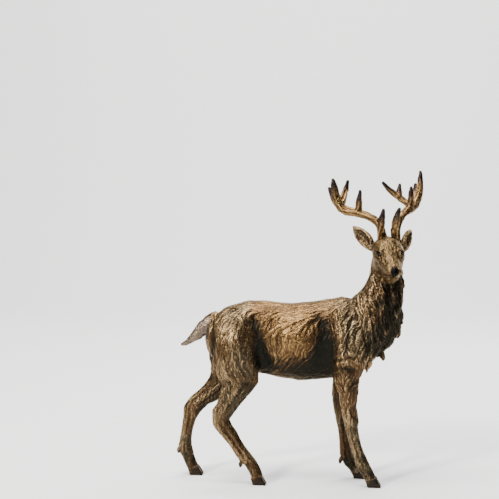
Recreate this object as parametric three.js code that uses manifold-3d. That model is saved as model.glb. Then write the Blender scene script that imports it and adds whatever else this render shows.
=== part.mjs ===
// A standing stag with its head turned to its right, cast in one piece: body, four legs, neck with a
// shaggy ruff, head, ears, antlers and tail. It stands on the flat soles of its cloven hooves.
// Millimetres, +Z up. The stag faces +X, and its left side is +Y.
import * as THREE from 'three';
import { mergeVertices } from 'three/addons/utils/BufferGeometryUtils.js';
import Module from 'manifold-3d';

// Driving dimension: the height from the soles to the tip of the longest tine.
const height = 540;

// The figure is a free form, so its pose, its proportions and its carving are written as thousandths of its
// height. These turn them into millimetres.
const share = (thousandths) => (thousandths * height) / 1000;
const at = (x, y, z) => new THREE.Vector3(share(x), share(y), share(z));
const direction = (x, y, z) => new THREE.Vector3(x, y, z);
const degrees = THREE.MathUtils.degToRad;

const bronze = new THREE.MeshStandardMaterial({ color: 0x6b4a2a, roughness: 0.45, metalness: 0.8 });

const wasm = await Module();
wasm.setup();

// A closed geometry as a solid that can be joined and cut.
function solid(geometry) {
  const bare = geometry.clone();
  bare.deleteAttribute('normal');
  bare.deleteAttribute('uv');
  const merged = mergeVertices(bare, share(0.02));
  return new wasm.Manifold(
    new wasm.Mesh({
      numProp: 3,
      vertProperties: new Float32Array(merged.attributes.position.array),
      triVerts: new Uint32Array(merged.index.array),
    }),
  );
}

// Joins or cuts, from a list of geometries.
const join = (geometries) => geometries.map(solid).reduce((whole, next) => whole.add(next));

// A smooth body along a line through stations. A station is [x, y, z, side, front, back, turn]: the line's
// point, the section's reach to either side, forwards and backwards, and how far the section's front is
// turned about the vertical, in degrees. The front of the sections points along lead, as far as a section
// square to the line allows. Gives the point of the surface at t along the line and an angle about it.
function body(stations, lead) {
  const line = new THREE.CatmullRomCurve3(stations.map(([x, y, z]) => at(x, y, z)), false, 'centripetal');
  const reach = new THREE.CatmullRomCurve3(stations.map(([, , , side, front, back]) => at(side, front, back)));
  const turns = new THREE.CatmullRomCurve3(stations.map((station) => direction(station[6] ?? 0, 0, 0)));
  return (t, angle, swell = 1) => {
    const along = line.getTangent(t);
    const front = lead.clone().applyAxisAngle(direction(0, 0, 1), degrees(turns.getPoint(t).x));
    front.addScaledVector(along, -front.dot(along)).normalize();
    const across = new THREE.Vector3().crossVectors(along, front);
    const r = reach.getPoint(t);
    const over = Math.sin(angle);
    return line
      .getPoint(t)
      .addScaledVector(across, Math.cos(angle) * r.x * swell)
      .addScaledVector(front, over * (over > 0 ? r.y : r.z) * swell);
  };
}

// A body's skin, closed to a point at each end.
function limb(stations, { sides = 10, rings = 20, lead = direction(1, 0, 0) } = {}) {
  const surface = body(stations, lead);
  const points = [];
  for (let ring = 0; ring <= rings; ring++) {
    for (let side = 0; side < sides; side++) points.push(surface(ring / rings, (side / sides) * 2 * Math.PI));
  }
  return skin(points, rings, sides);
}

// Joins rings of points into one closed skin with a point at each end, facing outwards.
function skin(points, rings, sides) {
  const faces = [];
  for (let ring = 0; ring < rings; ring++) {
    for (let side = 0; side < sides; side++) {
      const next = (side + 1) % sides;
      const a = ring * sides + side;
      const b = ring * sides + next;
      faces.push(a, b, b + sides, a, b + sides, a + sides);
    }
  }
  for (const [ring, flip] of [[0, true], [rings, false]]) {
    const middle = new THREE.Vector3();
    for (let side = 0; side < sides; side++) middle.addScaledVector(points[ring * sides + side], 1 / sides);
    points.push(middle);
    for (let side = 0; side < sides; side++) {
      const a = ring * sides + side;
      const b = ring * sides + ((side + 1) % sides);
      faces.push(...(flip ? [b, a, points.length - 1] : [a, b, points.length - 1]));
    }
  }
  const geometry = new THREE.BufferGeometry().setFromPoints(points);
  geometry.setIndex(volume(points, faces) < 0 ? faces.reverse() : faces);
  return geometry;
}

function volume(points, faces) {
  let six = 0;
  for (let i = 0; i < faces.length; i += 3) {
    const [a, b, c] = [points[faces[i]], points[faces[i + 1]], points[faces[i + 2]]];
    six += a.dot(new THREE.Vector3().crossVectors(b, c));
  }
  return six;
}

// A tapering round shoot, such as a tine, from [x, y, z, radius] points.
const shoot = (points, sides, rings) =>
  limb(points.map(([x, y, z, r]) => [x, y, z, r, r, r]), { sides, rings, lead: direction(0.3, -1, 0.2) });

// A ball stretched to three half sizes, in a frame of its own.
const egg = (sizes, detail, place) =>
  new THREE.SphereGeometry(1, detail, Math.round(detail * 0.7)).scale(...sizes.map(share)).applyMatrix4(place);

// Trunk: [x, highest, lowest, half width] along the back.
const trunkLine = [
  [-256, 504, 456, 14],
  [-245, 533, 425, 42],
  [-212, 556, 390, 64],
  [-167, 574, 371, 75],
  [-111, 589, 358, 79],
  [-56, 587, 350, 77],
  [0, 581, 339, 81],
  [56, 584, 330, 86],
  [111, 590, 336, 87],
  [157, 598, 348, 83],
  [204, 603, 359, 79],
  [250, 589, 382, 70],
  [287, 552, 415, 52],
  [307, 519, 448, 26],
];

function trunk() {
  const stations = trunkLine.map(([x, high, low, half]) => {
    const middle = (high + low) / 2;
    return [x, 0, middle, half, high - middle, middle - low];
  });
  return limb(stations, { sides: 20, rings: 17, lead: direction(0, 0, 1) });
}

// Neck: leans forwards and turns to the stag's right on its way up.
const neckLine = [
  [230, 0, 430, 67, 60, 74, 0],
  [252, 0, 478, 76, 84, 83, 0],
  [273, 0, 528, 78, 98, 89, 0],
  [293, 0, 574, 74, 86, 80, 0],
  [309, 2, 615, 67, 65, 61, -15],
  [318, 7, 652, 57, 56, 55, -38],
  [321, 13, 689, 51, 52, 54, -60],
  [324, 19, 726, 48, 49, 50, -74],
  [325, 22, 752, 42, 42, 42, -74],
  [325, 25, 774, 30, 30, 30, -74],
  [325, 27, 786, 12, 12, 12, -74],
];

const neck = () => limb(neckLine, { sides: 18, rings: 14 });

// Ruff: rows of overlapping locks, each lying down the neck with its root sunk in the surface and its tip
// standing clear. A row is [where it roots, lock length, half width, first angle, last angle, locks].
const ruffRows = [
  [0.66, 0.09, 9, 20, 160, 5],
  [0.56, 0.1, 11, 5, 180, 6],
  [0.46, 0.1, 12, -5, 190, 7],
  [0.36, 0.1, 13, -15, 195, 7],
  [0.27, 0.11, 14, 10, 170, 6],
  [0.18, 0.11, 13, 40, 140, 4],
];

function lock(surface, t, angle, length, wide) {
  const steps = [[0, 0.92, 0.5], [0.3, 0.98, 1], [0.65, 1.01, 0.9], [0.9, 1.05, 0.45], [1, 1.07, 0.12]];
  const stations = steps.map(([step, swell, full]) => {
    const point = surface(t - length * step, angle + 0.16 * step, swell).divideScalar(share(1));
    return [...point.toArray(), wide * full, wide * 0.55 * full, wide * 0.55 * full];
  });
  const out = surface(t, angle, 2).sub(surface(t, angle, 1));
  return limb(stations, { sides: 4, rings: 3, lead: out });
}

function ruff() {
  const surface = body(neckLine, direction(1, 0, 0));
  return ruffRows.flatMap(([t, length, wide, first, last, count]) =>
    Array.from({ length: count }, (_, i) =>
      lock(surface, t, degrees(first + ((last - first) * i) / (count - 1)), length, wide),
    ),
  );
}

// Locks that hang below the chest, between and ahead of the forelegs: root, then tip.
const chestLocks = [
  [[300, -14, 440], [312, -14, 402]],
  [[296, 14, 440], [306, 16, 405]],
  [[270, -20, 400], [262, -22, 360]],
  [[270, 14, 395], [258, 16, 362]],
  [[244, 0, 385], [240, 0, 347]],
];

const bib = () =>
  chestLocks.map(([[x, y, z], [tipX, tipY, tipZ]]) =>
    shoot(
      [
        [x, y, z, 12], [(x + tipX) / 2, (y + tipY) / 2, (z + tipZ) / 2, 11],
        [tipX, tipY, tipZ + 8, 6], [tipX, tipY, tipZ, 2],
      ],
      5,
      3,
    ),
  );

// Legs of the stag's right side first, then of its left. They start inside the trunk and end in the hooves.
const rightFore = [
  [200, -30, 566, 12, 26, 26],
  [204, -48, 528, 26, 46, 44],
  [210, -60, 480, 33, 58, 54],
  [212, -66, 436, 33, 60, 57],
  [207, -70, 393, 31, 53, 50],
  [202, -71, 352, 26, 42, 41],
  [205, -70, 326, 23, 37, 37],
  [207, -69, 300, 21, 33, 32],
  [207, -69, 276, 20, 28, 28],
  [208, -67, 250, 18, 25, 26],
  [214, -66, 220, 21, 28, 25],
  [215, -65, 198, 18, 22, 22],
  [220, -64, 172, 15, 20, 20],
  [227, -63, 146, 15, 19, 19],
  [234, -62, 120, 15, 19, 18],
  [243, -61, 95, 17, 20, 20],
  [253, -60, 70, 19, 21, 21],
  [267, -59, 46, 17, 18, 18],
  [277, -59, 26, 18, 19, 19],
  [281, -59, 15, 16, 17, 17],
];
const leftFore = [
  [196, 30, 566, 12, 26, 26],
  [200, 48, 528, 26, 46, 44],
  [204, 60, 480, 33, 58, 54],
  [202, 66, 436, 33, 60, 57],
  [194, 69, 393, 31, 53, 49],
  [187, 68, 352, 26, 40, 39],
  [183, 67, 326, 23, 35, 36],
  [179, 66, 300, 21, 31, 32],
  [177, 65, 276, 20, 28, 29],
  [177, 64, 250, 18, 25, 27],
  [179, 63, 226, 21, 28, 26],
  [181, 62, 200, 18, 22, 22],
  [187, 61, 173, 15, 19, 21],
  [190, 61, 146, 15, 18, 20],
  [193, 60, 120, 15, 18, 20],
  [195, 60, 94, 17, 19, 21],
  [198, 60, 69, 19, 21, 22],
  [218, 59, 42, 17, 18, 18],
  [229, 59, 24, 18, 19, 19],
  [234, 59, 15, 16, 17, 17],
];
const rightHind = [
  [-158, -24, 552, 12, 26, 26],
  [-163, -40, 522, 32, 64, 54],
  [-160, -49, 466, 42, 82, 70],
  [-156, -54, 410, 42, 88, 70],
  [-146, -56, 366, 37, 78, 70],
  [-140, -57, 341, 32, 62, 61],
  [-151, -58, 315, 27, 47, 50],
  [-169, -59, 281, 22, 39, 40],
  [-188, -59, 244, 19, 32, 33],
  [-204, -59, 217, 18, 31, 34],
  [-192, -59, 187, 16, 26, 28],
  [-169, -59, 157, 15, 24, 25],
  [-147, -59, 122, 14, 20, 22],
  [-126, -59, 95, 18, 20, 24],
  [-104, -59, 67, 17, 19, 19],
  [-89, -59, 37, 18, 20, 20],
  [-83, -59, 17, 16, 18, 18],
];
const leftHind = [
  [-165, 24, 552, 12, 26, 26],
  [-176, 40, 522, 32, 66, 56],
  [-188, 50, 466, 42, 86, 72],
  [-189, 54, 410, 41, 90, 67],
  [-193, 57, 363, 35, 72, 59],
  [-202, 59, 330, 28, 54, 52],
  [-224, 59, 298, 24, 41, 40],
  [-256, 59, 270, 20, 33, 32],
  [-280, 59, 251, 19, 28, 31],
  [-306, 59, 225, 18, 30, 33],
  [-317, 59, 192, 16, 22, 25],
  [-324, 59, 164, 15, 19, 21],
  [-330, 59, 131, 14, 19, 20],
  [-333, 59, 101, 17, 21, 23],
  [-329, 59, 78, 18, 22, 22],
  [-318, 59, 50, 16, 18, 19],
  [-308, 59, 26, 17, 19, 19],
  [-304, 59, 15, 15, 17, 17],
];

const legs = () => [rightFore, leftFore, rightHind, leftHind].map((line) => limb(line, { sides: 9, rings: 22 }));

// Hooves: two toes side by side, each a wedge with a flat sole, its heel at the given place.
const toe = { long: 43, high: 32, wide: 15, bevel: 2.5, splay: 4, apart: 19 };

function hoof(heelX, y) {
  const outline = new THREE.Shape();
  outline.moveTo(0, 0);
  outline.lineTo(share(toe.long - 1), 0);
  outline.lineTo(share(toe.long), share(4));
  outline.lineTo(share(toe.long - 4), share(11));
  outline.lineTo(share(toe.long * 0.62), share(toe.high));
  outline.lineTo(share(-7), share(toe.high * 0.72));
  outline.closePath();
  const edge = share(toe.bevel);
  const bevel = { bevelEnabled: true, bevelSegments: 1, bevelThickness: edge, bevelSize: edge, bevelOffset: -edge };
  return [-1, 1].map((side) =>
    new THREE.ExtrudeGeometry(outline, { depth: share(toe.wide - 2 * toe.bevel), ...bevel })
      .rotateX(Math.PI / 2)
      .translate(0, share(toe.wide / 2 - toe.bevel), 0)
      .rotateZ(degrees(side * toe.splay))
      .translate(share(heelX), share(y + (side * toe.apart) / 2), 0),
  );
}

const hooves = () => [[268, -59], [222, 59], [-99, -59], [-317, 59]].flatMap(([x, y]) => hoof(x, y));

// Dew claws: a pair behind each fetlock, pointing down.
const claw = (x, y, z) =>
  shoot([[x + 12, y, z + 14, 5], [x + 4, y, z + 8, 7], [x - 2, y, z - 6, 5], [x - 3, y, z - 14, 1.5]], 4, 3);
const claws = () =>
  [[235, -60, 62], [179, 60, 62], [-136, -59, 72], [-352, 59, 87]].flatMap(([x, y, z]) => [
    claw(x, y - 9, z),
    claw(x, y + 9, z),
  ]);

const tail = () =>
  limb([
    [-215, 0, 530, 22, 24, 24],
    [-236, 0, 520, 24, 25, 25],
    [-262, 0, 499, 23, 23, 24],
    [-287, 0, 476, 19, 17, 19],
    [-308, 0, 457, 13, 10, 12],
    [-328, 0, 445, 6, 5, 6],
    [-338, 0, 441, 2, 2, 2],
  ], { sides: 8, rings: 9, lead: direction(0, 0, 1) });

// Head: a frame of its own, midway between the eyes: x to the stag's right, y to the nose, z to the crown.
const headTurn = -79;
const headNod = -12;
const eyes = at(329, -28, 747);

const headFrame = (() => {
  const turn = degrees(headTurn);
  const nod = degrees(headNod);
  const nose = direction(Math.cos(turn) * Math.cos(nod), Math.sin(turn) * Math.cos(nod), Math.sin(nod));
  const right = direction(Math.sin(turn), -Math.cos(turn), 0);
  const crown = new THREE.Vector3().crossVectors(right, nose);
  return new THREE.Matrix4().makeBasis(right, nose, crown).setPosition(eyes);
})();

// Skull and muzzle: [towards the nose, lift of the middle, half width, up, down].
const skullLine = [
  [-84, -2, 12, 10, 14],
  [-70, 0, 30, 28, 34],
  [-46, 2, 45, 40, 52],
  [-16, 0, 51, 45, 58],
  [6, -2, 51, 38, 58],
  [24, -6, 46, 30, 54],
  [46, -13, 37, 23, 42],
  [70, -19, 29, 18, 31],
  [90, -24, 26, 15, 23],
  [105, -27, 23, 13, 20],
  [112, -28, 18, 10, 17],
  [115, -29, 9, 5, 9],
];
const jawLine = [
  [-30, -50, 34, 22, 20],
  [0, -56, 34, 20, 18],
  [35, -58, 28, 16, 14],
  [65, -57, 21, 12, 12],
  [88, -56, 16, 9, 10],
  [98, -55, 9, 6, 7],
];

function headPart(line, sides, rings) {
  const stations = line.map(([along, lift, half, up, down]) => [0, along, lift, half, up, down]);
  return limb(stations, { sides, rings, lead: direction(0, 0, 1) }).applyMatrix4(headFrame);
}

const inHead = (x, y, z, turn = 0) =>
  headFrame.clone().multiply(new THREE.Matrix4().makeRotationY(degrees(turn)).setPosition(at(x, y, z)));

function head() {
  const parts = [headPart(skullLine, 16, 15), headPart(jawLine, 10, 6)];
  parts.push(egg([14, 9, 16], 10, inHead(0, 109, -29)));
  for (const side of [-1, 1]) {
    parts.push(egg([10, 11, 9], 8, inHead(side * 39, 17, 5)));
    parts.push(egg([12, 24, 9], 8, inHead(side * 33, 12, 15, side * 35)));
    parts.push(egg([20, 42, 30], 8, inHead(side * 28, -2, -34)));
  }
  return parts;
}

// Ears: a leaf with a scooped hollow, from [x, y, z] of the root to the tip, opening towards the given side.
function ear(root, tip, opening) {
  const between = (t, side, thick) => [
    ...root.map((v, i) => v + (tip[i] - v) * t), side, thick, thick,
  ];
  const leaf = limb([
    between(-0.18, 8, 8),
    between(0, 14, 11),
    between(0.22, 23, 12),
    between(0.45, 25, 11),
    between(0.72, 20, 9),
    between(0.9, 9, 6),
    between(1, 3, 3),
  ], { sides: 10, rings: 8, lead: opening });
  const hollow = limb([
    between(0.12, 5, 6),
    between(0.3, 15, 11),
    between(0.48, 19, 11),
    between(0.7, 14, 9),
    between(0.9, 4, 4),
  ], { sides: 8, rings: 6, lead: opening }).translate(...opening.clone().setLength(share(9)).toArray());
  return solid(leaf).subtract(solid(hollow));
}

const ears = () => [
  ear([276, 20, 761], [214, 57, 825], direction(-0.25, -1, -0.1)),
  ear([375, 25, 757], [400, 93, 811], direction(0.75, -0.65, -0.1)),
];

// Antlers: [x, y, z, radius] along each beam and tine.
const rightAntler = [
  [[312, 8, 766, 15], [312, 8, 782, 14], [309, 10, 804, 13], [302, 14, 827, 13], [288, 20, 845, 13],
    [266, 29, 858, 13], [240, 39, 866, 13.5], [212, 52, 871, 14.5], [187, 61, 876, 16], [170, 67, 890, 16],
    [160, 69, 913, 13.5], [154, 66, 942, 10], [150, 64, 964, 6], [147, 63, 978, 2]],
  [[302, 5, 790, 12], [303, -6, 815, 12], [306, -16, 850, 9.5], [310, -19, 874, 5.5], [312, -19, 887, 2]],
  [[231, 44, 866, 15], [231, 41, 889, 10], [233, 31, 915, 7.5], [236, 22, 934, 4.5], [237, 19, 944, 2]],
  [[172, 67, 882, 13], [156, 70, 903, 10], [145, 70, 928, 7], [137, 69, 943, 4], [134, 68, 950, 2]],
  [[170, 68, 888, 16], [179, 87, 908, 12], [187, 101, 936, 8], [193, 107, 960, 4.5], [195, 109, 971, 2]],
];
const leftAntler = [
  [[353, 20, 768, 14], [353, 24, 786, 14], [353, 27, 806, 13.5], [356, 33, 831, 13], [367, 52, 857, 13],
    [388, 81, 875, 13.5], [406, 115, 887, 15.5], [418, 137, 902, 14], [425, 152, 925, 11.5],
    [428, 159, 956, 9], [430, 161, 984, 5], [429, 161, 999.87, 2]],
  [[348, 17, 790, 12.5], [347, 2, 820, 12], [352, -6, 852, 10], [359, -10, 878, 6], [363, -11, 890, 2]],
  [[392, 80, 870, 14], [395, 84, 890, 10.5], [398, 81, 916, 8], [399, 79, 940, 4.5], [399, 78, 953, 2]],
  [[411, 116, 884, 13], [411, 141, 906, 10], [413, 156, 930, 7.5], [413, 163, 949, 4], [413, 165, 959, 2]],
  [[408, 112, 880, 13], [386, 133, 895, 11], [362, 144, 912, 10], [337, 150, 929, 8.5], [318, 150, 948, 6],
    [308, 149, 960, 3.5], [305, 148, 964, 2]],
  [[362, 144, 914, 9], [361, 154, 932, 7], [362, 161, 948, 4], [363, 163, 958, 2]],
];

const antlers = () =>
  [rightAntler, leftAntler].flatMap((antler) =>
    antler.map((line, i) => (i === 0 ? shoot(line, 7, 15) : shoot(line, 5, 5))),
  );

const figure = join([
  trunk(),
  neck(),
  ...legs(),
  ...hooves(),
  ...claws(),
  tail(),
  ...head(),
  ...antlers(),
  ...ruff(),
  ...bib(),
]);
const stag = ears().reduce((whole, next) => whole.add(next), figure);

const made = stag.getMesh();
const geometry = new THREE.BufferGeometry();
geometry.setAttribute('position', new THREE.BufferAttribute(made.vertProperties, 3));
geometry.setIndex(new THREE.BufferAttribute(made.triVerts, 1));

// The origin is on the ground, under the middle of the figure's box.
geometry.computeBoundingBox();
const middle = geometry.boundingBox.getCenter(at(0, 0, 0));
geometry.translate(-middle.x, -middle.y, 0);
geometry.computeVertexNormals();

const deer = new THREE.Mesh(geometry, bronze);
deer.name = 'deer';

const model = new THREE.Group();
model.add(deer);

export default model;
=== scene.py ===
import math
import bmesh
import bpy
import numpy as np
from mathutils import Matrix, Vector, noise
from mathutils.bvhtree import BVHTree


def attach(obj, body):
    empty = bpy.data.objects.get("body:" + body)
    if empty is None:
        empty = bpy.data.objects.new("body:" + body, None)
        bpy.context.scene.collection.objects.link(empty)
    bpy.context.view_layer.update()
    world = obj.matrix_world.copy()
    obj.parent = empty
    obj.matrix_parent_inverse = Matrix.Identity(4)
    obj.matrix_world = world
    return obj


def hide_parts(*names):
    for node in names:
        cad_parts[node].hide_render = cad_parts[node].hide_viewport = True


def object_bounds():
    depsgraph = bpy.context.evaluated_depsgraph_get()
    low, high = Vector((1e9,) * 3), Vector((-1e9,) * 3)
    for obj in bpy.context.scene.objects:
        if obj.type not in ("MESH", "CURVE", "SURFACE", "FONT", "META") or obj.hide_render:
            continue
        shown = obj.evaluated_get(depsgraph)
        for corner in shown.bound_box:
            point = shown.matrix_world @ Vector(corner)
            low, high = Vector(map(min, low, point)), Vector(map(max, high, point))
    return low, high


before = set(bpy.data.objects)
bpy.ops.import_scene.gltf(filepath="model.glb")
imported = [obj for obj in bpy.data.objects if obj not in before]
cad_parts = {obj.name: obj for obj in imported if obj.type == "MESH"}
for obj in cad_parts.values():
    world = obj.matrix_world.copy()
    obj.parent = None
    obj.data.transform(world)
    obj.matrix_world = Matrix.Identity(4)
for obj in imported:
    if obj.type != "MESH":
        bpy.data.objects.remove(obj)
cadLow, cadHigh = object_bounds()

mm = 0.001
print("stage: frame loaded")

# Camera: the photograph's own view, aimed past the stag as the photograph is.
cameraSet = {
    "place": (167.29, -2701.72, 660.0),  # millimetres
    "turnLeft": 5.320,  # degrees
    "tiltDown": 5.366,
    "lens": 113.21,
}


def makeCamera():
    data = bpy.data.cameras.new("camera")
    data.lens = cameraSet["lens"]
    data.sensor_width = 36
    data.clip_start = 0.05
    data.clip_end = 60
    made = bpy.data.objects.new("camera", data)
    made.location = Vector(cameraSet["place"]) * mm
    tilt, left = math.radians(90 - cameraSet["tiltDown"]), math.radians(cameraSet["turnLeft"])
    made.rotation_euler = (tilt, 0, left)
    bpy.context.collection.objects.link(made)
    bpy.context.scene.camera = made


makeCamera()
print("stage: camera")

# The casting: a copy of the CAD solid, rounded and carved.
# Places are thousandths of the stag's height, from the ground point that part.mjs starts from.
casting = {
    "middle": (38.99, 15.37),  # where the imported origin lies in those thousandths
    "fineVoxel": 1.05,  # millimetres
    "coarseVoxel": 3.0,
    "triangles": 194000,
    "headAt": (329, -28, 747),
    "headTurn": -79,  # degrees
    "headNod": -12,
    "tipDark": 62,
    "roundSteps": 26,  # rounds of smoothing, on the coarse copy and then on the fine one
    "gentleSteps": 6,
    "hollowSteps": 160,  # how far the copy is softened that shows the hollows
    "reliefSteps": 14,  # the same, for the paint on the ridges
    "farSide": 0.5,  # how strong the painted shade and patina are on the far side, which the camera doesn't see
}
height = (cadHigh.z - cadLow.z) / mm  # millimetres
oneShare = height / 1000


def smoothStep(low, high, value):
    t = np.clip((value - low) / (high - low), 0, 1)
    return t * t * (3 - 2 * t)


# a soft hump, 1 in the middle and nearly nothing at twice the reach
def hump(value, middle, reach):
    return np.exp(-(((value - middle) / reach) ** 2))


def pointsOf(mesh):
    flat = np.empty(len(mesh.vertices) * 3, np.float32)
    mesh.vertices.foreach_get("co", flat)
    return flat.reshape(-1, 3).astype(float) / mm


def putPoints(mesh, points):
    mesh.vertices.foreach_set("co", (points * mm).astype(np.float32).ravel())
    mesh.update()


def normalsOf(mesh):
    flat = np.empty(len(mesh.vertices) * 3, np.float32)
    mesh.vertex_normals.foreach_get("vector", flat)
    return flat.reshape(-1, 3).astype(float)


def edgesOf(mesh):
    flat = np.empty(len(mesh.edges) * 2, np.int32)
    mesh.edges.foreach_get("vertices", flat)
    return flat.reshape(-1, 2)


def neighbourMean(values, edges):
    a, b = edges.T
    count = len(values)
    many = np.maximum(np.bincount(a, minlength=count) + np.bincount(b, minlength=count), 1)
    columns = values.reshape(count, -1)
    total = np.stack([
        np.bincount(a, column[b], count) + np.bincount(b, column[a], count) for column in columns.T
    ], 1)
    return (total / many[:, None]).reshape(values.shape)


def softened(values, edges, steps):
    for _ in range(steps):
        values = 0.5 * values + 0.5 * neighbourMean(values, edges)
    return values


# smooths without shrinking: each push is followed by a slightly larger pull back
def relax(points, edges, weight, steps, push=0.5, pull=-0.526):
    for _ in range(steps):
        for factor in (push, pull):
            points = points + factor * weight[:, None] * (neighbourMean(points, edges) - points)
    return points


# modifiers are applied through the dependency graph, so no operator context is needed
def bakeModifiers(piece):
    graph = bpy.context.evaluated_depsgraph_get()
    graph.update()
    baked = bpy.data.meshes.new_from_object(piece.evaluated_get(graph))
    piece.modifiers.clear()
    old = piece.data
    piece.data = baked
    bpy.data.meshes.remove(old)


def remeshed(name, voxel):
    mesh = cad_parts["deer"].data.copy()
    shape = bmesh.new()
    shape.from_mesh(mesh)
    bmesh.ops.remove_doubles(shape, verts=shape.verts, dist=0.00001)
    shape.to_mesh(mesh)
    shape.free()
    mesh.materials.clear()
    piece = bpy.data.objects.new(name, mesh)
    bpy.context.collection.objects.link(piece)
    step = piece.modifiers.new("voxels", "REMESH")
    step.mode = "VOXEL"
    step.voxel_size = voxel * mm
    bakeModifiers(piece)
    return piece


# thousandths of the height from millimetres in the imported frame
def toShares(points):
    shares = points / oneShare
    shares[:, 0] += casting["middle"][0]
    shares[:, 1] += casting["middle"][1]
    return shares


# the head's own directions: to its right, to its nose and to its crown
turn = math.radians(casting["headTurn"])
nod = math.radians(casting["headNod"])
noseWay = np.array([math.cos(turn) * math.cos(nod), math.sin(turn) * math.cos(nod), math.sin(nod)])
rightWay = np.array([math.sin(turn), -math.cos(turn), 0.0])
crownWay = np.cross(rightWay, noseWay)
headWays = np.stack([rightWay, noseWay, crownWay])


def inHead(shares):
    return (shares - np.array(casting["headAt"])) @ headWays.T


# the antlers' lines: where they run, for their grooves and their dark tips
antlers = {
    "lines": [
        [
            (312, 8, 766), (309, 10, 804), (288, 20, 845), (240, 39, 866), (187, 61, 876),
            (160, 69, 913), (147, 63, 978),
        ],
        [(302, 5, 790), (303, -6, 815), (312, -19, 887)],
        [(231, 44, 866), (233, 31, 915), (237, 19, 944)],
        [(172, 67, 882), (145, 70, 928), (134, 68, 950)],
        [(170, 68, 888), (187, 101, 936), (195, 109, 971)],
        [
            (353, 20, 768), (353, 27, 806), (367, 52, 857), (406, 115, 887),
            (425, 152, 925), (429, 161, 1000),
        ],
        [(348, 17, 790), (347, 2, 820), (363, -11, 890)],
        [(392, 80, 870), (398, 81, 916), (399, 78, 953)],
        [(411, 116, 884), (413, 156, 930), (413, 165, 959)],
        [(408, 112, 880), (362, 144, 912), (305, 148, 964)],
        [(362, 144, 914), (362, 161, 948), (363, 163, 958)],
    ],
    "reach": 19,
    "start": 772,  # height at which they leave the skull
    "widen": 1.4,  # millimetres, as are the groove and the burr
    "widenFrom": (110, 20),  # how far from the tip it starts, and where it is full
    "groove": 0.8,
    "burr": 1.9,
}
ears = {
    "lines": [((276, 20, 761), (214, 57, 825)), ((375, 25, 757), (400, 93, 811))],
    "reach": 29,
}


# nearest distance to a set of lines, the line's direction there, and the length left to its tip
def alongLines(shares, lines):
    best = np.full(len(shares), 1e9)
    way = np.zeros_like(shares)
    left = np.zeros(len(shares))
    for line in lines:
        spots = [np.array(spot, float) for spot in line]
        for i in range(len(spots) - 1):
            start, span = spots[i], spots[i + 1] - spots[i]
            length = np.linalg.norm(span)
            t = np.clip((shares - start) @ span / length ** 2, 0, 1)
            far = np.linalg.norm(shares - start - t[:, None] * span, axis=1)
            beyond = sum(np.linalg.norm(spots[j + 1] - spots[j]) for j in range(i + 1, len(spots) - 1))
            nearer = far < best
            best[nearer] = far[nearer]
            way[nearer] = span / length
            left[nearer] = ((1 - t) * length + beyond)[nearer]
    return best, way, left


class Regions:
    pass


# how far each point belongs to each part of the stag, from 0 to 1
def readRegions(shares):
    r = Regions()
    x, y, z = shares.T
    head = inHead(shares)
    far, r.antlerWay, r.antlerLeft = alongLines(shares, antlers["lines"])
    start = antlers["start"]
    r.antler = smoothStep(antlers["reach"] + 1, antlers["reach"] - 3, far)
    r.antler *= smoothStep(start, start + 8, z)
    far, r.earWay, _ = alongLines(shares, ears["lines"])
    r.ear = smoothStep(ears["reach"], ears["reach"] - 3, far) * (z > 745) * (1 - r.antler)
    r.ear *= smoothStep(48, 58, np.linalg.norm(shares - np.array((325, 0, 750)), axis=1))
    oval = np.linalg.norm((head - np.array((0, 22, -16))) / np.array((66, 112, 74)), axis=1)
    other = (1 - r.antler) * (1 - r.ear)
    r.head = smoothStep(1.06, 0.92, oval) * smoothStep(-72, -52, head[:, 1]) * other
    r.tail = smoothStep(-236, -250, x) * smoothStep(425, 440, z) * (np.abs(y) < 34)
    r.hoof = smoothStep(26, 21, z)
    r.shin = (1 - smoothStep(235, 300, z)) * (1 - r.hoof)
    r.thigh = smoothStep(235, 300, z) * (1 - smoothStep(330, 400, z))
    lean = x + 0.45 * (z - 560)
    r.neck = smoothStep(205, 245, lean) * smoothStep(330, 380, z) * (1 - r.head) * other
    r.trunk = np.clip(1 - r.neck - r.head - r.ear - r.antler - r.tail - r.shin - r.hoof, 0, 1)
    edge = np.interp(z, (430, 560, 660), (272, 292, 314))
    r.throat = smoothStep(edge - 34, edge + 30, x - 0.25 * np.maximum(y, 0)) * r.neck
    r.headSpot = head
    return r


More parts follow.
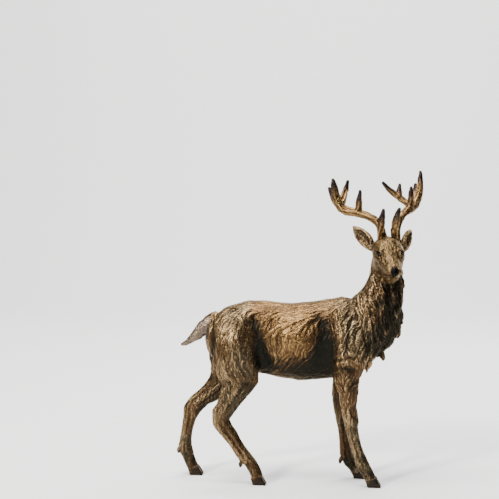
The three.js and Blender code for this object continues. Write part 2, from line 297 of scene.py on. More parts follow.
def madeSmooth():
    coarse = remeshed("coarse", casting["coarseVoxel"])
    points = pointsOf(coarse.data)
    edges = edgesOf(coarse.data)
    r = readRegions(toShares(points))
    softness = np.clip(r.trunk + 0.5 * r.neck + 0.5 * r.shin + r.thigh + 0.4 * r.head, 0, 1)
    putPoints(coarse.data, relax(points, edges, softness, casting["roundSteps"]))
    step = coarse.modifiers.new("rounder", "SUBSURF")
    step.levels = step.render_levels = 1
    bakeModifiers(coarse)
    smoothPoints = pointsOf(coarse.data)
    # a much softer copy shows which places are hollow and which stand out
    softer = softened(smoothPoints, edgesOf(coarse.data), casting["hollowSteps"])
    hollow = ((softer - smoothPoints) * normalsOf(coarse.data)).sum(1)
    tree = BVHTree.FromPolygons(
        [Vector(p) for p in smoothPoints], [tuple(face.vertices) for face in coarse.data.polygons])
    faceVertices = [face.vertices[0] for face in coarse.data.polygons]
    fine = remeshed("deer_casting", casting["fineVoxel"])
    points = pointsOf(fine.data)
    r = readRegions(toShares(points))
    shin = 0.5 * r.shin * smoothStep(70, 130, toShares(points)[:, 2])
    pull = np.clip(r.trunk + 0.6 * r.neck + shin + 0.85 * r.head, 0, 1)
    pull *= (1 - r.hoof) * (1 - r.antler) * (1 - r.ear)
    moved = points.copy()
    deep = np.zeros(len(points))
    for i, point in enumerate(points):
        spot, _, face, _ = tree.find_nearest(point)
        moved[i] = spot
        deep[i] = hollow[faceVertices[face]]
    points = points + pull[:, None] * np.clip(moved - points, -6, 6)
    gentle = np.clip(1 - 0.9 * r.hoof - 0.35 * r.antler, 0, 1)
    putPoints(fine.data, relax(points, edgesOf(fine.data), gentle, casting["gentleSteps"]))
    bpy.data.objects.remove(coarse)
    return fine, deep


deer, deep = madeSmooth()
print("stage: rounded", len(deer.data.vertices), "points")


# The skin: its points, and the neighbours of each.
class Skin:
    def __init__(self, mesh):
        self.points = pointsOf(mesh)
        self.normals = normalsOf(mesh)
        self.edges = edgesOf(mesh)
        corners = np.empty(len(mesh.loops), np.int32)
        mesh.loops.foreach_get("vertex_index", corners)
        quads = corners.reshape(-1, 4)  # the remesh makes only quads
        pairs = np.concatenate([self.edges, quads[:, [0, 2]], quads[:, [1, 3]]])
        pairs = np.concatenate([pairs, pairs[:, ::-1]])
        pairs = pairs[np.argsort(pairs[:, 0], kind="stable")]
        many = np.bincount(pairs[:, 0], minlength=len(self.points))
        first = np.cumsum(many) - many
        column = np.arange(len(pairs)) - first[pairs[:, 0]] + 1
        self.near = np.tile(np.arange(len(self.points))[:, None], (1, many.max() + 1))
        self.near[pairs[:, 0], column] = pairs[:, 1]

    # where each point comes to, step by step, when it walks over the skin
    def walk(self, way, stride, steps):
        at = np.arange(len(self.points))
        place = self.points.copy()
        stops = []
        for _ in range(steps):
            place += way[at] * stride
            place -= self.normals[at] * ((place - self.points[at]) * self.normals[at]).sum(1)[:, None]
            options = self.near[at]
            gap = ((self.points[options] - place[:, None]) ** 2).sum(2)
            at = options[np.arange(len(at)), gap.argmin(1)]
            stops.append(at.astype(np.int32))
        return stops


def roughness(points, size, shift=0.0):
    return np.array([noise.noise(Vector(point)) for point in points / size + shift])


def evened(values):
    values = values - values.mean()
    return values / (values.std() + 1e-9)


# Forms under the skin, on both flanks.
# Each is [x, z, half length, half height, slant in degrees, millimetres out,
# and how far back the left one lies].
muscles = [
    (-98, 520, 30, 30, 50, -2.4, 26),  # hollow of the flank, under the hip
    (-76, 455, 19, 62, 12, -4.2, 30),
    (-64, 395, 24, 30, 0, -2.6, 34),
    (-128, 548, 26, 16, -10, 1.8, 20),  # hip bone
    (-212, 507, 15, 17, 0, 2.6, 16),  # point of the buttock
    (-226, 425, 7, 72, 3, -3.0, 22),  # groove down the back of the thigh
    (-150, 470, 34, 74, 10, 2.2, 28),  # thigh
    (-106, 392, 18, 20, 30, 1.8, 30),  # stifle
    (-160, 372, 12, 34, 24, -1.5, 30),
    (-10, 566, 70, 14, -4, -1.2, 0),  # loin
    (30, 486, 74, 66, 0, 2.6, 0),  # ribs
    (122, 450, 30, 92, -2, -4.4, 2),  # hollow behind the shoulder
    (106, 532, 26, 18, -40, -1.8, 2),
    (176, 498, 11, 56, 6, 2.4, 2),  # ridges of the shoulder
    (204, 486, 9, 48, -4, -2.4, 2),
    (238, 480, 12, 58, -12, 2.2, 2),
    (268, 452, 9, 46, -20, -1.6, 2),
    (199, 428, 40, 6, 10, 1.7, 4),  # folds above the elbow
    (197, 415, 44, 5, 10, -1.7, 4),
    (199, 402, 36, 8, 6, 2.2, 4),
    (202, 383, 34, 6, -8, -1.8, 4),
]
# Painted shade with dark patina, lying in the hollows, in the same form with the strength last but one.
shadeAndPatina = [
    (-98, 522, 26, 30, 50, 0.4, 26),
    (-74, 450, 20, 66, 12, 0.6, 30),
    (-66, 384, 32, 32, 0, 0.9, 34),
    (-226, 425, 9, 76, 3, 0.9, 22),
    (-118, 420, 34, 60, 24, 0.4, 28),
    (136, 452, 28, 92, -4, 0.8, 4),
    (112, 444, 42, 80, 0, 0.45, 2),
    (112, 536, 24, 14, -35, 0.5, 2),
    (84, 368, 100, 32, 0, 0.8, 0),
    (60, 404, 80, 28, 8, 0.4, 0),
    (204, 486, 8, 46, -4, 0.7, 2),
    (268, 448, 10, 46, -20, 0.5, 2),
    (197, 415, 40, 5, 10, 0.25, 4),
    (206, 382, 40, 12, -8, 0.45, 4),
    (222, 340, 14, 40, 0, 0.6, 4),
    (-112, 330, 20, 20, 0, 0.5, 30),
]


def spotted(shares, spots):
    x, y, z = shares.T
    total = np.zeros(len(shares))
    for spotX, spotZ, long, high, slant, amount, back in spots:
        c, n = math.cos(math.radians(slant)), math.sin(math.radians(slant))
        along, up = x - spotX + back * (y > 0), z - spotZ
        far = ((along * c + up * n) / long) ** 2 + ((up * c - along * n) / high) ** 2
        total += amount * np.exp(-1.2 * far)
    return total


def swell(shares, normals, r):
    flank = smoothStep(0.2, 0.6, np.abs(normals[:, 1])) * smoothStep(235, 300, shares[:, 2])
    return spotted(shares, muscles) * flank * (1 - r.head) * (1 - r.antler) * (1 - r.ear)


# The legs: bone in front, tendon behind, and furrows between them.
# Each line is [middle and reach across the leg, from -1 behind to 1 in front, then millimetres out].
legs = {
    "top": 345,
    "slice": 5,
    "shin": [(-0.42, 0.2, 1.1), (-0.04, 0.14, -2.0), (0.42, 0.25, 0.6)],
    "arm": [(-0.52, 0.16, -1.6), (-0.14, 0.16, 1.3), (0.24, 0.15, -1.7), (0.6, 0.2, 0.5)],
    "knee": (211, 19, 1.3),  # height, half height, millimetres out
    "fetlock": (78, 14, 0.9),
    "hoof": (14, 20),  # height of the hoof behind, and how much higher it is in front
    "claws": [(233, -60, 58), (177, 60, 58), (-138, -59, 68), (-354, 59, 83)],
    "clawReach": (7, 13, 12),
    "clawOut": 1.7,
}


# from -1 at the back of the leg to 1 at its front
def acrossLegs(shares):
    x, y, z = shares.T
    place = np.zeros(len(x))
    levels = int(legs["top"] / legs["slice"]) + 1
    middles = (np.arange(levels) + 0.5) * legs["slice"]
    for right in (True, False):
        for fore in (True, False):
            mine = (z < legs["top"]) & ((y < 0) == right) & ((x > 20) == fore)
            level = np.clip(z[mine] / legs["slice"], 0, levels - 1).astype(int)
            low, high = np.full(levels, 1e9), np.full(levels, -1e9)
            np.minimum.at(low, level, x[mine])
            np.maximum.at(high, level, x[mine])
            back, front = np.interp(z[mine], middles, low), np.interp(z[mine], middles, high)
            place[mine] = np.clip(2 * (x[mine] - back) / (front - back) - 1, -1, 1)
    return place


# how near each point is to a dew claw
def nearClaws(shares):
    total = np.zeros(len(shares))
    for x, y, z in legs["claws"]:
        for side in (-9, 9):
            gap = (shares - (x, y + side, z)) / legs["clawReach"]
            total = np.maximum(total, np.exp(-(gap ** 2).sum(1)))
    return total


def sinew(shares, normals, r, place):
    z = shares[:, 2]
    fore = shares[:, 0] > 20
    beside = smoothStep(0.25, 0.65, np.abs(normals[:, 1]))
    shin = smoothStep(50, 70, z) * smoothStep(215, 190, z)
    arm = smoothStep(220, 245, z) * smoothStep(345, 315, z)
    total = np.zeros(len(z))
    for band, lines in ((shin, legs["shin"]), (arm, legs["arm"])):
        for middle, reach, out in lines:
            total += band * out * hump(place, middle, reach)
    for name, where in (("knee", fore), ("fetlock", z < 200)):
        middle, reach, out = legs[name]
        total += where * out * hump(z, middle, reach) * smoothStep(-0.9, -0.2, place)
    total -= fore * 1.1 * hump(z, 190, 4) * smoothStep(-0.5, 0, place)
    return total * beside * (1 - r.hoof) + legs["clawOut"] * nearClaws(shares)


# painted shade on the legs' inner sides, fronts and knees, which also grow darker towards the feet
def legPaintedShade(shares, normals, place):
    x, y, z = shares.T
    low = smoothStep(350, 320, z)
    inner = smoothStep(0.0, 0.6, -normals[:, 1] * np.sign(y)) * np.where(x > 20, 0.7, 0.2)
    front = 0.45 * smoothStep(0.0, 0.5, place) + 0.5 * smoothStep(100, 50, z)
    knee = 0.7 * (x > 20) * hump(z, 210, 10) * smoothStep(0.2, 0.6, place)
    return low * (inner + front + knee)


# The coat: folds, clumps and strands drawn out along the hair, and overlapping locks.
# Each kind is [fold, clump, strand, lock] heights, then lock length and width, all in millimetres.
coat = {
    "back": (0.12, 0.16, 0.26, 0.0, 20, 6),
    "ribs": (0.62, 0.3, 0.36, 0.0, 26, 7),
    "haunch": (0.5, 0.36, 0.38, 0.35, 26, 7),
    "shoulder": (0.75, 0.4, 0.38, 0.4, 26, 7),
    "belly": (0.4, 0.4, 0.34, 0.3, 20, 6),
    "nape": (0.5, 0.6, 0.5, 1.1, 34, 6),
    "ruff": (0.6, 0.6, 0.55, 3.0, 38, 8.0),
    "limb": (0.2, 0.12, 0.26, 0.0, 14, 4),
    "head": (0.18, 0.2, 0.36, 0.0, 8, 3),
    "ear": (0.2, 0.2, 0.34, 0.0, 12, 3),
    "tail": (0.6, 0.5, 0.45, 0.8, 26, 5),
    "sizes": (8.5, 6.4, 4.2),  # fold, clump, strand
    "reaches": (22, 18, 10),  # steps
    "stride": 1.15,
    "swirl": (0.55, 70, 0.5, 22),  # turn and size, large and small
    "crowding": 1.7,
    "curl": 0.2,
    "seed": 7,
}


def kinds(shares, r):
    x, y, z = shares.T
    limb = np.maximum(r.shin, r.hoof)
    haunch = smoothStep(-70, -125, x) * smoothStep(585, 540, z)
    shoulder = smoothStep(128, 162, x) * smoothStep(600, 550, z)
    rest = r.trunk * (1 - np.maximum(haunch, shoulder))
    high = smoothStep(530, 590, z)
    low = smoothStep(385, 355, z)
    return {
        "back": rest * high,
        "ribs": rest * (1 - high) * (1 - low),
        "belly": rest * (1 - high) * low,
        "haunch": r.trunk * haunch,
        "shoulder": r.trunk * shoulder * (1 - haunch),
        "nape": r.neck * (1 - r.throat),
        "ruff": r.neck * r.throat,
        "limb": limb,
        "head": r.head,
        "ear": r.ear,
        "tail": r.tail,
    }


def hairWays(shares, normals, r, kind):
    steep = smoothStep(570, 490, shares[:, 2])[:, None]
    crownward = np.sign(r.headSpot[:, 2] + 12)[:, None]
    ways = {
        "back": (-1.0, 0, -0.3),
        "ribs": np.array((-0.9, 0, -0.45)) * (1 - steep) + np.array((-0.5, 0, -0.87)) * steep,
        "belly": (-0.85, 0, -0.5),
        "haunch": (-0.1, 0, -1.0),
        "shoulder": (-0.15, 0, -1.0),
        "nape": (0.36, 0, -0.93),
        "ruff": (0.1, 0, -1.0),
        "limb": (0, 0, -1.0),
        "head": -noseWay + 0.4 * crownWay * crownward,
        "ear": r.earWay,
        "tail": (-0.8, 0, -0.6),
    }
    way = sum(kind[name][:, None] * np.asarray(ways[name]) for name in ways)
    way += 1e-6
    way -= normals * (way * normals).sum(1)[:, None]
    way /= np.linalg.norm(way, axis=1)[:, None]
    large, largeSize, small, smallSize = coat["swirl"]
    bend = 2 * large * roughness(shares, largeSize) + 2 * small * roughness(shares, smallSize, 7.3)
    bend *= 1 - 0.75 * np.clip(kind["head"] + kind["ear"] + kind["limb"] + 0.6 * kind["back"], 0, 1)
    bend *= 1 - 0.55 * r.neck
    across = np.cross(normals, way)
    return way * np.cos(bend)[:, None] + across * np.sin(bend)[:, None]


def mixed(kind, column):
    total = sum(kind[name] for name in kind) + 1e-6
    return sum(kind[name] * coat[name][column] for name in kind) / total


# the same values, drawn out along the hair
def combed(values, trails, reach):
    total = values.copy()
    for trail in trails:
        for stop in trail[:reach]:
            total += values[stop]
    return evened(total)


# points kept in boxes, so that a lock finds the skin under it quickly
class Boxes:
    def __init__(self, points, size):
        self.size = size
        self.low = points.min(0) - size
        cells = ((points - self.low) / size).astype(np.int64)
        self.span = cells.max(0) + 3
        keys = self.key(cells[:, 0], cells[:, 1], cells[:, 2])
        self.order = np.argsort(keys, kind="stable")
        self.starts = np.searchsorted(keys[self.order], np.arange(int(np.prod(self.span)) + 1))

    def key(self, x, y, z):
        return (x * self.span[1] + y) * self.span[2] + z

    def within(self, low, high):
        a = np.maximum(((low - self.low) / self.size).astype(np.int64), 0)
        b = np.minimum(((high - self.low) / self.size).astype(np.int64), self.span - 1)
        found = []
        for x in range(a[0], b[0] + 1):
            for y in range(a[1], b[1] + 1):
                first = self.starts[self.key(x, y, a[2])]
                last = self.starts[self.key(x, y, b[2]) + 1]
                if last > first:
                    found.append(self.order[first:last])
        return np.concatenate(found) if found else np.zeros(0, np.int64)


# overlapping locks, each a pointed ridge that stands highest near its tip
def layLocks(skin, way, kind):
    boxes = Boxes(skin.points, 7.0)
    rise = np.zeros(len(skin.points))
    cover = np.zeros(len(skin.points))
    heights, lengths, widths = (mixed(kind, column) for column in (3, 4, 5))
    chance = np.random.default_rng(coat["seed"])
    laid = 0
    for i in chance.permutation(np.flatnonzero(heights > 0.25)):
        if cover[i] > coat["crowding"] * chance.uniform(0.2, 1):
            continue
        length = lengths[i] * chance.uniform(0.75, 1.25)
        width = widths[i] * chance.uniform(0.75, 1.2)
        high = heights[i] * chance.uniform(0.6, 1.2)
        normal, start = skin.normals[i], skin.points[i]
        across = np.cross(normal, way[i])
        middle = start + way[i] * length * 0.45
        reach = length * 0.62 + 2
        near = boxes.within(middle - reach, middle + reach)
        offset = skin.points[near] - start
        u = offset @ way[i] / length
        v = offset @ across - chance.uniform(-1, 1) * coat["curl"] * length * u * np.abs(u)
        t = np.clip(u, 0, 1)
        half = width * 0.75 * np.power(t + 0.12, 0.4) * np.power(1 - t, 0.7)
        inside = (u > -0.1) & (u < 1) & (np.abs(v) < half)
        inside &= np.abs(offset @ normal) < 0.35 * length + 2
        inside &= skin.normals[near] @ normal > 0.35
        near, u, side = near[inside], u[inside], v[inside] / half[inside]
        along = smoothStep(-0.1, 0.62, u) * (1 - 0.25 * smoothStep(0.8, 1, u))
        rise[near] = np.maximum(rise[near], high * along * (1 - side * side))
        cover[near] += 1 - np.abs(side) * 0.5
        laid += 1
    print("stage: coat,", laid, "locks")
    return neighbourMean(rise, skin.edges) - 0.5 * heights


def carveCoat(skin, shares, r):
    kind = kinds(shares, r)
    way = hairWays(shares, skin.normals, r, kind)
    steps = max(coat["reaches"])
    trails = [skin.walk(way, coat["stride"], steps), skin.walk(-way, coat["stride"], steps)]
    rise = layLocks(skin, way, kind)
    for column, (size, reach) in enumerate(zip(coat["sizes"], coat["reaches"])):
        drawn = combed(roughness(skin.points, size, 3.1 * column), trails, reach)
        if column > 0:
            drawn = evened(np.abs(drawn) ** 0.6)  # round ridges between sharp grooves
        rise += 0.8 * mixed(kind, column) * np.clip(drawn, -2.2, 2.2)
    return rise * (1 - np.clip(r.antler + 0.9 * r.hoof, 0, 1)), way


# The face: lids, brows, nostrils and lips, in the head's own thousandths.
face = {
    "eye": (38, 34, 8),
    "eyeOut": (0.78, 0.58, 0.22),  # the way the eye looks
    "lid": (13.0, 8.0),  # half length, half height
    "slant": 0.25,
    "pad": (12.6, -28, 16.5),  # half width, middle height, half height
    "padFrom": 101,
    "nostril": (7.0, -25),
    "mouth": (-46, 85, 0.28),  # height, where, slope
    "muzzle": 7,  # how much fuller the lips and jaw are
}


# the lips and jaw stand out more than in the solid
def fillMuzzle(skin, r):
    x, y, z = r.headSpot.T
    out = face["muzzle"] * oneShare * hump(z, -43, 17) * smoothStep(28, 55, y) * smoothStep(112, 92, y)
    skin.points -= (out * np.clip(-x / 9, -1, 1) * r.head)[:, None] * rightWay


def capsule(u, v, start, end, reach):
    span = np.subtract(end, start)
    t = np.clip(((u - start[0]) * span[0] + (v - start[1]) * span[1]) / (span @ span), 0, 1)
    return np.exp(-((u - start[0] - t * span[0]) ** 2 + (v - start[1] - t * span[1]) ** 2) / reach ** 2)


def carveFace(r):
    x, y, z = r.headSpot.T
    x = np.abs(x)
    out = np.array(face["eyeOut"]) / np.linalg.norm(face["eyeOut"])
    forward = np.cross((0, 0, 1), out)
    forward /= np.linalg.norm(forward)
    upward = np.cross(out, forward)
    gap = np.stack([x, y, z], 1) - face["eye"]
    u, v = gap @ forward, gap @ upward + face["slant"] * (gap @ forward)
    beside = smoothStep(-22, -10, gap @ out) * r.head
    ring = np.sqrt(np.abs(u / face["lid"][0]) ** 1.5 + (v / face["lid"][1]) ** 2)
    ball = beside * smoothStep(0.84, 0.7, ring)
    rise = beside * (1.2 * hump(ring, 1.05, 0.18) + 0.9 * ball - 0.5 * hump(ring, 1.6, 0.3))
    rise += beside * 1.5 * capsule(u, v, (3, 14), (24, -12), 3.6)  # ridge before the eye
    rise += beside * 1.2 * capsule(u, v, (-14, 16), (2, 17), 4.0)  # brow
    gland = beside * capsule(u, v, (13, -6), (18, -9), 3.2)
    rise -= 1.5 * gland
    rise += beside * 1.2 * capsule(u, v, (-6, -23), (8, -24), 6.5)  # cheekbone
    wide, middle, high = face["pad"]
    narrow = 1 - 0.3 * smoothStep(middle + 4, middle - high, z)
    oval = np.hypot(x / (wide * narrow), (z - middle) / high)
    pad = smoothStep(1.08, 0.94, oval) * smoothStep(face["padFrom"], face["padFrom"] + 4, y)
    hole = hump(x + 0.25 * (z - face["nostril"][1]), face["nostril"][0], 2.6)
    hole = hole * hump(z, face["nostril"][1], 4.4) * smoothStep(103, 109, y)
    line = z - face["mouth"][0] - face["mouth"][2] * (y - face["mouth"][1])
    lips = smoothStep(44, 58, y) * r.head * (1 - pad)
    split = hump(x, 0, 1.5) * hump(z, -43, 5) * smoothStep(98, 104, y)
    corner = hump(y, 95, 6) * hump(line, -5, 4) * smoothStep(8, 13, x) * r.head
    rise += 0.9 * pad - 2.6 * hole - 1.0 * split - 1.2 * corner
    rise += lips * (0.9 * hump(line, 5.5, 3.2) + 0.8 * hump(line, -6, 3.2) - 1.5 * hump(line, 0, 1.9))
    dark = 0.8 * gland + split + 0.8 * lips * hump(line, 0, 1.9) + hole + 0.7 * corner
    # a dark rim round the eye, painted shade in the socket round it, and the upper lid darker
    dark += beside * (0.9 * hump(ring, 0.88, 0.12) + 0.12 * hump(ring, 1.5, 0.35))
    dark += 0.35 * beside * hump(ring, 1.1, 0.25) * smoothStep(0, 4, v)
    return rise, np.clip(pad + ball, 0, 1), np.clip(dark, 0, 1)


# long grooves along the antlers, and beaded burrs round their feet
def carveAntlers(skin, shares, r):
    lengthwise = (shares * r.antlerWay).sum(1)[:, None]
    wave = np.zeros(len(shares))
    mine = np.flatnonzero(r.antler > 0.02)
    wave[mine] = roughness((shares - r.antlerWay * lengthwise * 0.88)[mine], 5.0)
    tip = smoothStep(0, 26, r.antlerLeft)
    z, start = shares[:, 2], antlers["start"]
    foot = hump(z, start + 6, 6) * (z < 800)
    bead = 0.6 + 0.9 * np.clip(roughness(shares, 3.2, 1.7), -0.6, 0.6)
    burr = foot * bead * antlers["burr"] * smoothStep(start - 8, start, z)
    near = 1 - smoothStep(16, 20, alongLines(shares, antlers["lines"])[0])
    return r.antler * tip * antlers["groove"] * 2 * wave + burr * near


# the tines stay thick almost to their ends, which are blunt
def widenTines(skin, r):
    ways = r.antlerWay / np.maximum(np.linalg.norm(r.antlerWay, axis=1), 1e-6)[:, None]
    across = skin.normals - ways * (skin.normals * ways).sum(1)[:, None]
    wider = r.antler * antlers["widen"] * smoothStep(*antlers["widenFrom"], r.antlerLeft)
    skin.points += across * wider[:, None]


def carve():
    mesh = deer.data
    skin = Skin(mesh)
    shares = toShares(skin.points)
    r = readRegions(shares)
    place = acrossLegs(shares)
    forms = swell(shares, skin.normals, r) + sinew(shares, skin.normals, r, place)
    skin.points += skin.normals * forms[:, None]
    fillMuzzle(skin, r)
    widenTines(skin, r)
    putPoints(mesh, skin.points)
    skin.normals = normalsOf(mesh)
    shares = toShares(skin.points)
    rise, way = carveCoat(skin, shares, r)
    features, black, line = carveFace(r)
    smooth = 1 - 0.95 * black
    rise = rise * smooth + features + carveAntlers(skin, shares, r)
    skin.points += skin.normals * rise[:, None]
    putPoints(mesh, skin.points)
    relief = rise - softened(rise, skin.edges, casting["reliefSteps"])
    # painted shade with patina: the spots above on the flanks, the legs' shaded sides, and the whole
    # throat, which lies in shade
    dark = spotted(shares, shadeAndPatina) * smoothStep(0.1, 0.5, np.abs(skin.normals[:, 1]))
    dark *= np.where(shares[:, 1] > 0, casting["farSide"], 1.0)
    dark += legPaintedShade(shares, skin.normals, place)
    hoofTop = legs["hoof"][0] + legs["hoof"][1] * (place + 1) / 2
    paintWith = {
        "ridge": np.clip(relief / 0.9, -1, 1) * (1 - 0.45 * r.head),
        "hollow": np.clip(deep - forms, -4, 4),
        # painted shade with patina, with the whole throat at full strength
        "shadeAndPatina": np.clip(dark * (1 - r.neck) + r.throat, 0, 1),
        "antler": r.antler,
        "antlerTip": r.antler * (1 - smoothStep(14, casting["tipDark"], r.antlerLeft)),
        "warm": r.trunk * smoothStep(-140, -70, shares[:, 0]) * smoothStep(205, 140, shares[:, 0]),
        "face": r.head,
        "black": np.clip(black + 0.85 * line, 0, 1),
        "hoof": np.maximum(smoothStep(hoofTop + 2, hoofTop - 2, shares[:, 2]), 0.7 * nearClaws(shares)),
        "tail": r.tail,
        "downward": np.abs(way[:, 2]),
    }
    return skin.points, paintWith


# thins the mesh, then gives the kept points their paint from the nearest carved point
def thin(points, paintWith):
    many = sum(len(polygon.vertices) - 2 for polygon in deer.data.polygons)
    step = deer.modifiers.new("thinner", "DECIMATE")
    step.ratio = casting["triangles"] / many
    step.use_collapse_triangulate = True
    bakeModifiers(deer)
    kept = pointsOf(deer.data)
    boxes = Boxes(points, 3.0)
    pick = np.zeros(len(kept), np.int64)
    for i, spot in enumerate(kept):
        near = boxes.within(spot - 2.0, spot + 2.0)
        if len(near) == 0:
            near = boxes.within(spot - 6.0, spot + 6.0)
        pick[i] = near[np.argmin(((points[near] - spot) ** 2).sum(1))]
    for name, values in paintWith.items():
        layer = deer.data.attributes.new(name, "FLOAT", "POINT")
        layer.data.foreach_set("value", values[pick].astype(np.float32))


points, paintWith = carve()
print("stage: carved")
thin(points, paintWith)
deer.data.polygons.foreach_set("use_smooth", np.ones(len(deer.data.polygons), bool))
print("stage: thinned to", len(deer.data.polygons), "triangles")

# The floor, the lights and the world.
# Each is its place and what it aims at in metres, its size, its power in watts and its colour.
lights = {
    "top": ((-0.4, -0.5, 2.9), (0, 0, 0.2), 1.4, 125, (1.0, 0.99, 0.97)),
    "key": ((-1.7, -2.2, 1.7), (0, 0, 0.3), 0.5, 125, (1.0, 0.98, 0.95)),
    "rim": ((1.3, 1.5, 1.1), (0, 0, 0.3), 0.9, 16, (0.95, 0.98, 1.0)),
    "wall": ((0.0, 1.0, 3.0), (0, 3.4, 0.9), 1.6, 150, (1.0, 1.0, 1.0)),
}
room = {
    "white": 0.86,
    "sky": 0.35,
    "front": -5.0,  # metres
    "bend": 2.2,  # where the floor starts to curve up
    "radius": 1.2,
    "top": 5.0,
    "half": 6.0,
}


def aimedAt(piece, target):
    piece.rotation_euler = (Vector(target) - piece.location).to_track_quat("-Z", "Y").to_euler()


def lightRoom():
    for name, (place, aim, size, power, tint) in lights.items():
        data = bpy.data.lights.new(name, "AREA")
        data.shape = "DISK"
        data.size = size
        data.energy = power
        data.color = tint
        lamp = bpy.data.objects.new(name, data)
        lamp.location = place
        bpy.context.collection.objects.link(lamp)
        aimedAt(lamp, aim)
    world = bpy.data.worlds.new("room")
    world.use_nodes = True
    back = world.node_tree.nodes["Background"]
    back.inputs["Color"].default_value = (1, 1, 1, 1)
    back.inputs["Strength"].default_value = room["sky"]
    bpy.context.scene.world = world


# a floor that curves up into a wall behind the stag; its other edges lie outside the main view
def makeFloor():
    line = [(room["front"], 0.0)]
    for step in range(17):
        angle = math.radians(90 * step / 16)
        out, high = room["radius"] * math.sin(angle), room["radius"] * (1 - math.cos(angle))
        line.append((room["bend"] + out, high))
    line.append((room["bend"] + room["radius"], room["top"]))
    shape = bmesh.new()
    left = [shape.verts.new((-room["half"], y, z)) for y, z in line]
    right = [shape.verts.new((room["half"], y, z)) for y, z in line]
    for i in range(len(line) - 1):
        shape.faces.new((left[i], right[i], right[i + 1], left[i + 1])).smooth = True
    mesh = bpy.data.meshes.new("floor")
    shape.to_mesh(mesh)
    shape.free()
    floor = bpy.data.objects.new("floor", mesh)
    bpy.context.collection.objects.link(floor)
    paint = bpy.data.materials.new("floor paint")
    paint.use_nodes = True
    shader = paint.node_tree.nodes["Principled BSDF"]
    white = room["white"]
    shader.inputs["Base Color"].default_value = (white, white, white, 1)
    shader.inputs["Roughness"].default_value = 0.9
    mesh.materials.append(paint)


lightRoom()
makeFloor()
print("stage: room")

# The paint: aged bronze, gold where it was rubbed, black in the grooves and hollows, with painted shade
# on what faces down and in the shaded hollows, and painted highlight on what faces up.
bronze = {
    "gold": (0.325, 0.218, 0.108),
    "warmGold": (0.285, 0.165, 0.060),
    "brown": (0.052, 0.028, 0.0125),
    "olive": (0.040, 0.030, 0.0175),
    "dark": (0.0075, 0.0077, 0.0058),
    "grey": (0.16, 0.125, 0.102),
    "black": (0.0045, 0.0042, 0.0042),
    "horn": (0.050, 0.026, 0.0105),
    "hornRidge": (0.34, 0.208, 0.085),
    "hornTip": (0.022, 0.016, 0.016),
    "brow": (0.225, 0.140, 0.056),
    "browDark": (0.026, 0.016, 0.007),
    "hoof": (0.016, 0.0125, 0.0112),
    "metallic": 0.92,
    "edge": (0.93, 0.81, 0.67),  # tint of what it mirrors at a slant
    "specular": 0.35,
    "leastRough": 0.19,  # what the uneven roughness is added to
    "bump": (0.7, 0.001),  # strength, metres
    "blotchSize": 24,  # larger is finer, as are the next three
    "hueSize": 9,
    "grainSize": 330,
    "hairSize": 620,
}


class Nodes:
    def __init__(self, tree):
        self.tree = tree

    def add(self, kind, **settings):
        made = self.tree.nodes.new(kind)
        for key, value in settings.items():
            setattr(made, key, value)
        return made

    def link(self, source, target):
        self.tree.links.new(source, target)

    def math(self, operation, a, b, clamp=False):
        made = self.add("ShaderNodeMath", operation=operation, use_clamp=clamp)
        for socket, value in zip(made.inputs, (a, b)):
            if isinstance(value, (int, float)):
                socket.default_value = value
            else:
                self.link(value, socket)
        return made.outputs[0]

    def sum(self, *terms):
        total = None
        for value, share in terms:
            part = self.math("MULTIPLY", value, share)
            total = part if total is None else self.math("ADD", total, part)
        return total

    def spread(self, value, low, high, toLow=0.0, toHigh=1.0):
        made = self.add("ShaderNodeMapRange", interpolation_type="SMOOTHSTEP")
        self.link(value, made.inputs["Value"])
        made.inputs["From Min"].default_value = low
        made.inputs["From Max"].default_value = high
        made.inputs["To Min"].default_value = toLow
        made.inputs["To Max"].default_value = toHigh
        return made.outputs["Result"]

    def blend(self, amount, a, b):
        made = self.add("ShaderNodeMix", data_type="RGBA")
        self.link(amount, made.inputs["Factor"])
        for socket, value in ((made.inputs[6], a), (made.inputs[7], b)):
            if isinstance(value, tuple):
                socket.default_value = (*value, 1)
            else:
                self.link(value, socket)
        return made.outputs[2]

    def layer(self, name):
        made = self.add("ShaderNodeAttribute", attribute_type="GEOMETRY", attribute_name=name)
        return made.outputs["Fac"]

    def stretched(self, place, scale):
        made = self.add("ShaderNodeMapping")
        self.link(place, made.inputs["Vector"])
        made.inputs["Scale"].default_value = scale
        return made.outputs["Vector"]

    def noise(self, place, scale, detail=3.0, rough=0.55):
        made = self.add("ShaderNodeTexNoise")
        self.link(place, made.inputs["Vector"])
        made.inputs["Scale"].default_value = scale
        made.inputs["Detail"].default_value = detail
        made.inputs["Roughness"].default_value = rough
        return made.outputs["Fac"]


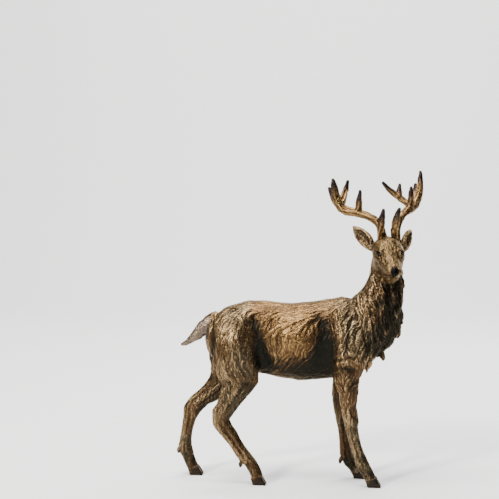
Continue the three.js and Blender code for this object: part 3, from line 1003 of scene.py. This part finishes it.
def bronzePaint():
    paint = bpy.data.materials.new("aged bronze")
    paint.use_nodes = True
    n = Nodes(paint.node_tree)
    shader = paint.node_tree.nodes["Principled BSDF"]
    place = n.add("ShaderNodeTexCoord").outputs["Object"]
    facing = n.add("ShaderNodeSeparateXYZ")
    n.link(n.add("ShaderNodeNewGeometry").outputs["Normal"], facing.inputs[0])
    up = facing.outputs["Z"]
    blotch = n.noise(place, bronze["blotchSize"], 4, 0.6)
    hue = n.noise(place, bronze["hueSize"], 2, 0.5)
    grain = n.noise(place, bronze["grainSize"], 4, 0.65)
    # fine hair: noise drawn out downwards, or towards the tail, as the coat lies
    downHair = n.noise(n.stretched(place, (1.0, 1.0, 0.14)), bronze["hairSize"], 3, 0.65)
    backHair = n.noise(n.stretched(place, (0.14, 1.0, 1.0)), bronze["hairSize"], 3, 0.65)
    hair = n.add("ShaderNodeMix", data_type="FLOAT")
    n.link(n.spread(n.layer("downward"), 0.35, 0.8), hair.inputs["Factor"])
    n.link(backHair, hair.inputs[2])
    n.link(downHair, hair.inputs[3])
    hair = hair.outputs[0]

    ridge = n.layer("ridge")
    hollow = n.layer("hollow")
    shadeAndPatina = n.layer("shadeAndPatina")
    # rubbed gold on ridges and places that stand out, and painted highlight on what faces up
    rubAndTopLight = n.sum((ridge, 0.8), (n.spread(up, -0.6, 0.8), 0.15), (hollow, -0.09), (shadeAndPatina, -0.75))
    rubAndTopLight = n.math("ADD", rubAndTopLight, n.sum((blotch, 1.2), (hair, 2.2), (grain, 0.8)))
    rubAndTopLight = n.spread(rubAndTopLight, 2.0, 3.1)
    # black wash in the grooves, darker in the hollows, and painted shade on what faces down and in the
    # spotted hollows
    washAndShade = n.sum((ridge, -0.6), (hollow, 0.14), (n.spread(up, 0.1, -0.7), 0.55), (shadeAndPatina, 0.75))
    washAndShade = n.math("ADD", washAndShade, n.sum((blotch, 0.6), (hair, -0.9), (grain, -0.3)))
    onCoat = n.math("SUBTRACT", 1.0, n.math("MULTIPLY", n.layer("face"), 0.3))
    washAndShade = n.math("MULTIPLY", n.spread(washAndShade, -0.32, 0.6), onCoat)

    warm = n.layer("warm")
    olive = n.math("SUBTRACT", n.spread(hue, 0.4, 0.62), n.math("MULTIPLY", warm, 0.7), True)
    body = n.blend(olive, bronze["brown"], bronze["olive"])
    body = n.blend(rubAndTopLight, body, n.blend(warm, bronze["gold"], bronze["warmGold"]))
    body = n.blend(washAndShade, body, bronze["dark"])
    body = n.blend(n.math("MULTIPLY", n.layer("tail"), 0.6), body, bronze["grey"])
    # the face is rubbed more evenly than the coat, with a little painted highlight on what faces up
    browRubAndTopLight = n.sum((ridge, 0.35), (hair, 1.3), (grain, 0.9), (blotch, 1.0))
    browRubAndTopLight = n.math("ADD", browRubAndTopLight, n.math("MULTIPLY", n.spread(up, -0.2, 0.8), 0.12))
    brow = n.blend(n.spread(browRubAndTopLight, 1.45, 2.25), bronze["browDark"], bronze["brow"])
    body = n.blend(n.math("MULTIPLY", n.layer("face"), 0.8), body, brow)
    hornRub = n.spread(n.sum((ridge, 0.5), (grain, 1.0), (blotch, 0.6)), 0.65, 1.25)
    horn = n.blend(hornRub, bronze["horn"], bronze["hornRidge"])
    horn = n.blend(n.layer("antlerTip"), horn, bronze["hornTip"])
    body = n.blend(n.layer("antler"), body, horn)
    body = n.blend(n.math("MULTIPLY", n.layer("hoof"), 0.8), body, bronze["hoof"])
    body = n.blend(n.layer("black"), body, bronze["black"])
    n.link(body, shader.inputs["Base Color"])

    rough = n.sum((n.spread(grain, 0.3, 0.7), 0.2), (washAndShade, 0.12))
    rough = n.math("ADD", rough, n.sum((n.layer("black"), -0.2), (n.layer("face"), 0.06)))
    n.link(n.math("ADD", rough, bronze["leastRough"]), shader.inputs["Roughness"])
    shader.inputs["Metallic"].default_value = bronze["metallic"]
    shader.inputs["Specular IOR Level"].default_value = bronze["specular"]
    shader.inputs["Specular Tint"].default_value = (*bronze["edge"], 1)
    bump = n.add("ShaderNodeBump")
    bump.inputs["Strength"].default_value, bump.inputs["Distance"].default_value = bronze["bump"]
    n.link(n.sum((hair, 1.0), (grain, 0.6)), bump.inputs["Height"])
    n.link(bump.outputs["Normal"], shader.inputs["Normal"])
    return paint


deer.data.materials.append(bronzePaint())
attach(deer, "root")
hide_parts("deer")
